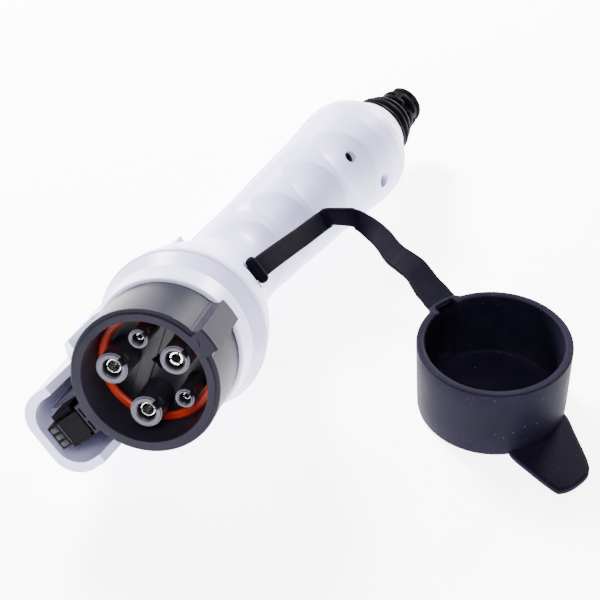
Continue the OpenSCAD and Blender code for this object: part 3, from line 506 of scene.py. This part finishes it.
def boot_ribs():
    first_lug = REAR_RIBS[0][0]
    rows = []
    for r, y in BOOT:
        row = []
        for j, (c, s) in enumerate(circle(BOOT_COLUMNS)):
            q = r
            if y > first_lug + 0.1 and r > BOOT_CORE + 0.05:
                stagger = LUG_PITCH_DEG / 2 * (int((y - first_lug) / RIB_PITCH) % 2)
                off = abs((360 * j / BOOT_COLUMNS + stagger) % LUG_PITCH_DEG - LUG_PITCH_DEG / 2)
                q = BOOT_CORE + (r - BOOT_CORE) * (1 - ease(off, *LUG_EDGE_DEG))
            elif r > 7.5:  # the front ribs aren't quite true
                q += BOOT_WAVE * wave(2.5 * c, 2.5 * s, y * 0.7)
            row.append(GRIP_AXIS @ Vector((q * c, GRIP_LEN + y, q * s)))
        rows.append(row)
    return rings(rows, False)


boot = piece("boot_ribs", boot_ribs(), "boot_rubber", "housing", 50)
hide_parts("boot")

# ---------- the coil spring under the thumb pad, drawn at one height; the real one shortens as the latch is pressed ---
SPRING_FOOT = Vector((0, 74, 12.45))
SPRING_TURNS, SPRING_STEPS, SPRING_WIRE, SPRING_R, SPRING_H = 6, 36, 0.4, 2.7, 15.4


def coil():
    last = SPRING_TURNS * SPRING_STEPS
    rows = []
    for i in range(last + 1):
        a = 2 * math.pi * i / SPRING_STEPS
        rows.append([LAY @ (SPRING_FOOT + Vector(((SPRING_R + SPRING_WIRE * c) * math.cos(a),
                                                  (SPRING_R + SPRING_WIRE * c) * math.sin(a),
                                                  SPRING_H * i / last + SPRING_WIRE * s)))
                     for c, s in circle(10)])
    return rings(rows)


spring = piece("pressed_coil", coil(), "spring_steel", "housing")
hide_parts("latch_spring")
# the thumb pad takes up about a fifth of the spring's height at full press
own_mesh(spring)

# ---------- moulded relief on the face of the latch hook ----------
HOOK_Z, HOOK_FACE = 23.7, 0.8


def pad(x0, x1, z0, z1, y0, round_mm):
    """A small block with rounded corners that stands forward of the hook's face, up to y0."""
    rows = []
    for inset, depth in ((0, None), (0, 1), (0.3, 0.3), (1, 0)):  # in shares of round_mm
        y = HOOK_FACE if depth is None else y0 + depth * round_mm
        r = round_mm - inset * round_mm * 0.9
        row = []
        for cx, cz, start in ((x1 - round_mm, z1 - round_mm, 0), (x0 + round_mm, z1 - round_mm, 90),
                              (x0 + round_mm, z0 + round_mm, 180), (x1 - round_mm, z0 + round_mm, 270)):
            for f in (0, 30, 60, 90):
                a = math.radians(start + f)
                row.append(LAY @ Vector((cx + r * math.cos(a), y, cz + r * math.sin(a))))
        rows.append(row)
    return rings(rows)


for i, (x0, x1) in enumerate(((-3.2, -1.5), (-0.85, 0.85), (1.5, 3.2))):
    lug = pad(x0, x1, HOOK_Z + 8.1, HOOK_Z + 10.6, 0.36, 0.25)
    piece(f"hook_lug_{i}", lug, "hook_worn", "latch")
bead = pad(-3.3, 3.3, HOOK_Z + 7.1, HOOK_Z + 7.6, 0.4, 0.18)
piece("hook_bead", bead, "hook_worn", "latch")

# ---------- the shadow line where the two shells meet ----------
# distance and radius of the housing: the bell's from the nose's face, the grip's from the bend's end
BELL = [(37.2, 26.2), (42.87, 25.39), (48.01, 24.28), (53.0, 22.87), (57.99, 21.4), (63.02, 19.99),
        (68.0, 18.52), (GRIP_START, 16.1)]
GRIP = [(0, 16.1), (12, 16.69), (25, 17.65), (35, 18.16), (46, 18.7), (54, 19.46), (63, 20.5),
        (70, 20.3), (73.4, 19.4), (76.4, 17.6), (79, 15.4)]
SEAM_FROM, SEAM_TO, SEAM_STEPS, SEAM_Z = 38.6, 179.03, 150, 0.72
# half width of the line, and how much wider it gets: it opens behind the bell's lip and narrows
# again along the grip, between these distances
SEAM_HALF, SEAM_OPEN = 0.18, 0.9
OPENS, NARROWS = (38, 60), (64, 150)
# across the seam: place in half widths and height over the shells
SEAM_SECTION = ((-1, 0.0), (-0.6, 0.12), (0.6, 0.12), (1, 0.0), (0.6, -0.2), (-0.6, -0.2))


def seam_point(q, side, z, lift):
    """q runs from the nose's face back along the housing; the point is in the connector's own axes."""
    bend = math.radians(BEND_DEG)
    if q < GRIP_START:
        r = read(BELL, q) + lift
        return Vector((side * math.sqrt(r * r - z * z), q, z))
    a = min((q - GRIP_START) / BEND_R, bend)
    along = max(q - GRIP_START - BEND_R * bend, 0)
    r = read(GRIP, along) + lift
    return Vector((side * math.sqrt(r * r - z * z),
                   GRIP_START + (BEND_R + z) * math.sin(a) + along * math.cos(a),
                   -BEND_R + (BEND_R + z) * math.cos(a) - along * math.sin(a)))


for side, tag in ((1, "a"), (-1, "b")):
    rows = []
    for i in range(SEAM_STEPS):
        q = SEAM_FROM + (SEAM_TO - SEAM_FROM) * i / (SEAM_STEPS - 1)
        half = SEAM_HALF + SEAM_OPEN * (1 - ease(q, *NARROWS)) * ease(q, *OPENS)
        rows.append([LAY @ seam_point(q, side, SEAM_Z + half * w, up) for w, up in SEAM_SECTION])
    piece("seam_line_" + tag, rings(rows), "seam_shade", "housing")

# ---------- floor, light, camera (in metres) ----------
FLOOR_HALF = 6.0
FLOOR_CLOUDS = 2.0  # noise cells to the metre
FLOOR_GLOW = 5.4
WORLD_GLOW = 0.45
CAMERA_AT = (-0.00151, -0.36472, 0.31212)
CAMERA_DOWN_DEG = 40.47
CAMERA_ROLL_DEG = -3.2
LENS_MM = 82.52
SENSOR_MM = 36

floor_mesh = bpy.data.meshes.new("floor")
corners = [(x * FLOOR_HALF, y * FLOOR_HALF, 0) for x, y in ((-1, -1), (1, -1), (1, 1), (-1, 1))]
floor_mesh.from_pydata(corners, [], [(0, 1, 2, 3)])
floor = bpy.data.objects.new("floor", floor_mesh)
scene.collection.objects.link(floor)
floor_mat, nt, bsdf = node_tree("floor_m")
pale = ramp(nt, noise(nt, FLOOR_CLOUDS, detail=2), (0.9, 0.9, 0.9), (0.93, 0.93, 0.93))
nt.links.new(pale, bsdf.inputs["Base Color"])
bsdf.inputs["Roughness"].default_value = 0.9
bsdf.inputs["Emission Color"].default_value = (1, 1, 1, 1)
bsdf.inputs["Emission Strength"].default_value = FLOOR_GLOW
floor_mesh.materials.append(floor_mat)

world = bpy.data.worlds.new("world")
scene.world = world
world.use_nodes = True
background = world.node_tree.nodes["Background"]
background.inputs["Color"].default_value = (1, 1, 1, 1)
background.inputs["Strength"].default_value = WORLD_GLOW


def area(name, at, to, size, power):
    light = bpy.data.lights.new(name, "AREA")
    light.shape = "RECTANGLE"
    light.size, light.size_y = size
    light.energy = power
    obj = bpy.data.objects.new(name, light)
    scene.collection.objects.link(obj)
    obj.location = at
    obj.rotation_euler = (Vector(to) - Vector(at)).to_track_quat("-Z", "Y").to_euler()


area("key", (-0.32, 0.55, 0.55), (0, 0.02, 0.03), (0.22, 0.22), 42)
area("fill", (-0.1, -0.6, 0.75), (0, 0, 0.02), (0.5, 0.35), 10)
area("rim", (0.42, 0.6, 0.34), (0, 0, 0.03), (0.2, 0.2), 13)

cam = bpy.data.cameras.new("camera")
cam.lens = LENS_MM
cam.sensor_width = SENSOR_MM
cam_obj = bpy.data.objects.new("camera", cam)
scene.collection.objects.link(cam_obj)
cam_obj.location = CAMERA_AT
tilt = Matrix.Rotation(math.radians(90 - CAMERA_DOWN_DEG), 3, "X")
cam_obj.rotation_euler = (tilt @ Matrix.Rotation(math.radians(CAMERA_ROLL_DEG), 3, "Z")).to_euler()
scene.camera = cam_obj
